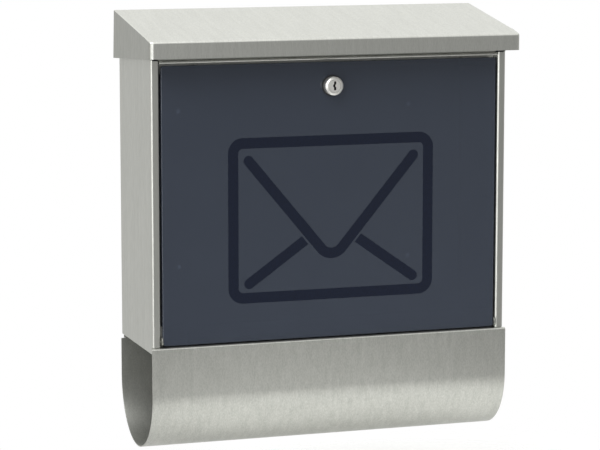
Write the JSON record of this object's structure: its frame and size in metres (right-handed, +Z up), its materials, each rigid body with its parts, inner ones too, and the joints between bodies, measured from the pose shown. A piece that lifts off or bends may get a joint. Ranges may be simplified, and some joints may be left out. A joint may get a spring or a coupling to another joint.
{
  "type": "wall mounted mailbox",
  "caption": "Wall mounted steel mailbox with a sloped lid over its letter slot, a smoked glass door that tilts down, a cam lock and an open newspaper roll below.",
  "frame": {"origin": "centre of the four fixing holes, on the back panel's rear face in the plane of the wall", "axes": "+X to the right seen from the front, +Y into the wall, +Z up; the front faces -Y"},
  "size_m": [0.383, 0.1425, 0.4336],
  "materials": {
    "brushed_steel": "fine brushed, grain upright on the fronts and sides",
    "inner_steel": "plain mill finish inside the box",
    "hinge_steel": "drawn satin",
    "smoked_glass": "polished, smoked grey blue tint",
    "lock_chrome": "polished nickel and chrome plate",
    "zinc_plate": "bright zinc plated steel",
    "black_rubber": "matte moulded rubber"
  },
  "bodies": {
    "casing": {"left_side_panel": "brushed_steel", "right_side_panel": "brushed_steel", "back_panel": "inner_steel", "top_rail": "brushed_steel", "slot_plate": "inner_steel", "compartment_floor": "inner_steel", "newspaper_roll": "brushed_steel", "body_hinge_leaf": "hinge_steel", "lid_hinge_pin": "hinge_steel", "lid_bumper_left": "black_rubber", "lid_bumper_right": "black_rubber", "door_bumper_left": "black_rubber", "door_bumper_right": "black_rubber", "fixing_seal_upper_left": "black_rubber", "fixing_seal_upper_right": "black_rubber", "fixing_seal_lower_left": "black_rubber", "fixing_seal_lower_right": "black_rubber"},
    "lid": {"lid": "brushed_steel", "lid_hinge_leaf": "hinge_steel"},
    "door": {"glass_pane": "smoked_glass", "door_pivot_left": "hinge_steel", "door_pivot_right": "hinge_steel", "lock_housing": "lock_chrome", "lock_seal": "black_rubber", "lock_washer": "zinc_plate", "lock_nut": "zinc_plate"},
    "lock_core": {"lock_plug": "lock_chrome", "lock_cam": "zinc_plate", "cam_screw": "zinc_plate"}
  },
  "joints": [
    {"name": "lid_hinge", "type": "hinge", "parent": "casing", "child": "lid", "pos_m": [0, -0.0048, 0.17943], "axis": [-1, 0, 0], "range_deg": [0, 85]},
    {"name": "door_hinge", "type": "hinge", "parent": "casing", "child": "door", "pos_m": [0, -0.1175, -0.134], "axis": [1, 0, 0], "range_deg": [0, 110]},
    {"name": "lock_turn", "type": "hinge", "parent": "door", "child": "lock_core", "pos_m": [0, -0.112, 0.113], "axis": [0, -1, 0], "range_deg": [0, 90]}
  ]
}
